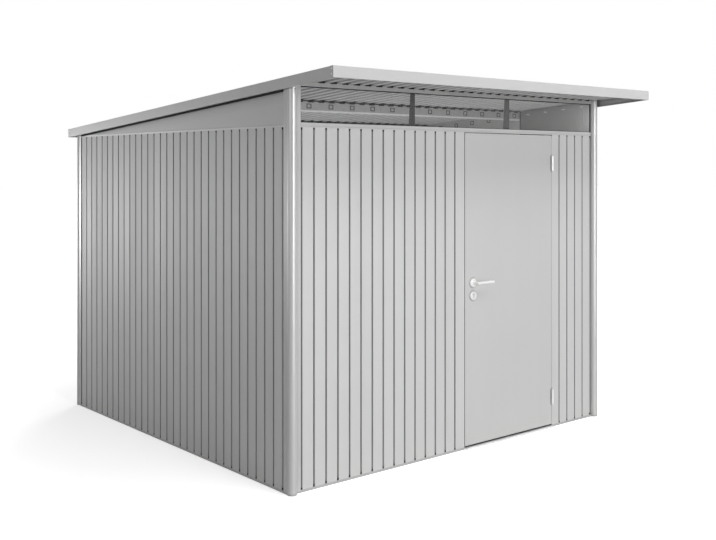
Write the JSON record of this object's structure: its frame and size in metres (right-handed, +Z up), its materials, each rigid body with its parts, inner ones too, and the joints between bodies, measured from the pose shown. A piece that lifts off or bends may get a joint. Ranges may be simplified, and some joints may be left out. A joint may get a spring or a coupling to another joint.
{
  "type": "garden shed",
  "caption": "Metal garden shed with grooved sheet walls, a ribbed mono-pitch roof, a clear window band under the eaves and a hinged door with a lever.",
  "frame": {"origin": "on the ground, under the middle of the roof's plan", "axes": "+X to the right along the front wall, +Y from the front to the back, +Z up"},
  "size_m": [2.596, 3.012, 2.1577],
  "materials": {
    "wall_paint": "satin silver-grey paint",
    "trim_paint": "satin silver-grey paint",
    "roof_paint": "satin grey paint",
    "frame_zinc": "matt zinc coat",
    "fin_paint": "matt dark paint",
    "sill_metal": "mill finish",
    "pane_clear": "clear plastic pane",
    "handle_steel": "satin stainless",
    "lock_metal": "nickel plated"
  },
  "bodies": {
    "shed": {"wall_left": "wall_paint", "wall_right": "wall_paint", "wall_back": "wall_paint", "wall_front_left": "wall_paint", "wall_front_right": "wall_paint", "gable_left": "wall_paint", "gable_right": "wall_paint", "post_front_left": "trim_paint", "post_front_right": "trim_paint", "post_back_left": "trim_paint", "post_back_right": "trim_paint", "fascia_front": "trim_paint", "gutter_back": "trim_paint", "fascia_left": "trim_paint", "fascia_right": "trim_paint", "window_sill_rail": "trim_paint", "top_rails_side": "trim_paint", "top_rail_back": "trim_paint", "roof_sheet": "roof_paint", "header_front": "frame_zinc", "header_back": "frame_zinc", "purlin_front": "frame_zinc", "purlin_rear": "frame_zinc", "gable_inner_left": "frame_zinc", "gable_inner_right": "frame_zinc", "base_rails_side": "frame_zinc", "base_rail_back": "frame_zinc", "base_rails_front": "frame_zinc", "door_jambs": "frame_zinc", "window_fins": "fin_paint", "door_sill": "sill_metal", "window_pane": "pane_clear", "hinge_frame_sides": "handle_steel", "hinge_pins": "handle_steel", "strike_plate": "lock_metal"},
    "door": {"door_leaf": "wall_paint", "door_liner": "frame_zinc", "lock_case": "lock_metal", "door_roses_outer": "handle_steel", "door_roses_inner": "handle_steel", "lock_cylinder": "lock_metal", "hinge_door_sides": "handle_steel"},
    "lever": {"lever_outer": "handle_steel", "lever_inner": "handle_steel", "lever_spindle": "handle_steel"}
  },
  "joints": [
    {"name": "door_hinge", "type": "hinge", "parent": "shed", "child": "door", "pos_m": [0.809, -1.119, 0.9], "axis": [0, 0, 1], "range_deg": [0, 110]},
    {"name": "lever_turn", "type": "hinge", "parent": "door", "child": "lever", "pos_m": [0.0785, -1.111, 0.982], "axis": [0, 1, 0], "range_deg": [0, 40], "stiffness_Nm_per_rad": 1.5, "springref_deg": -34.38}
  ]
}
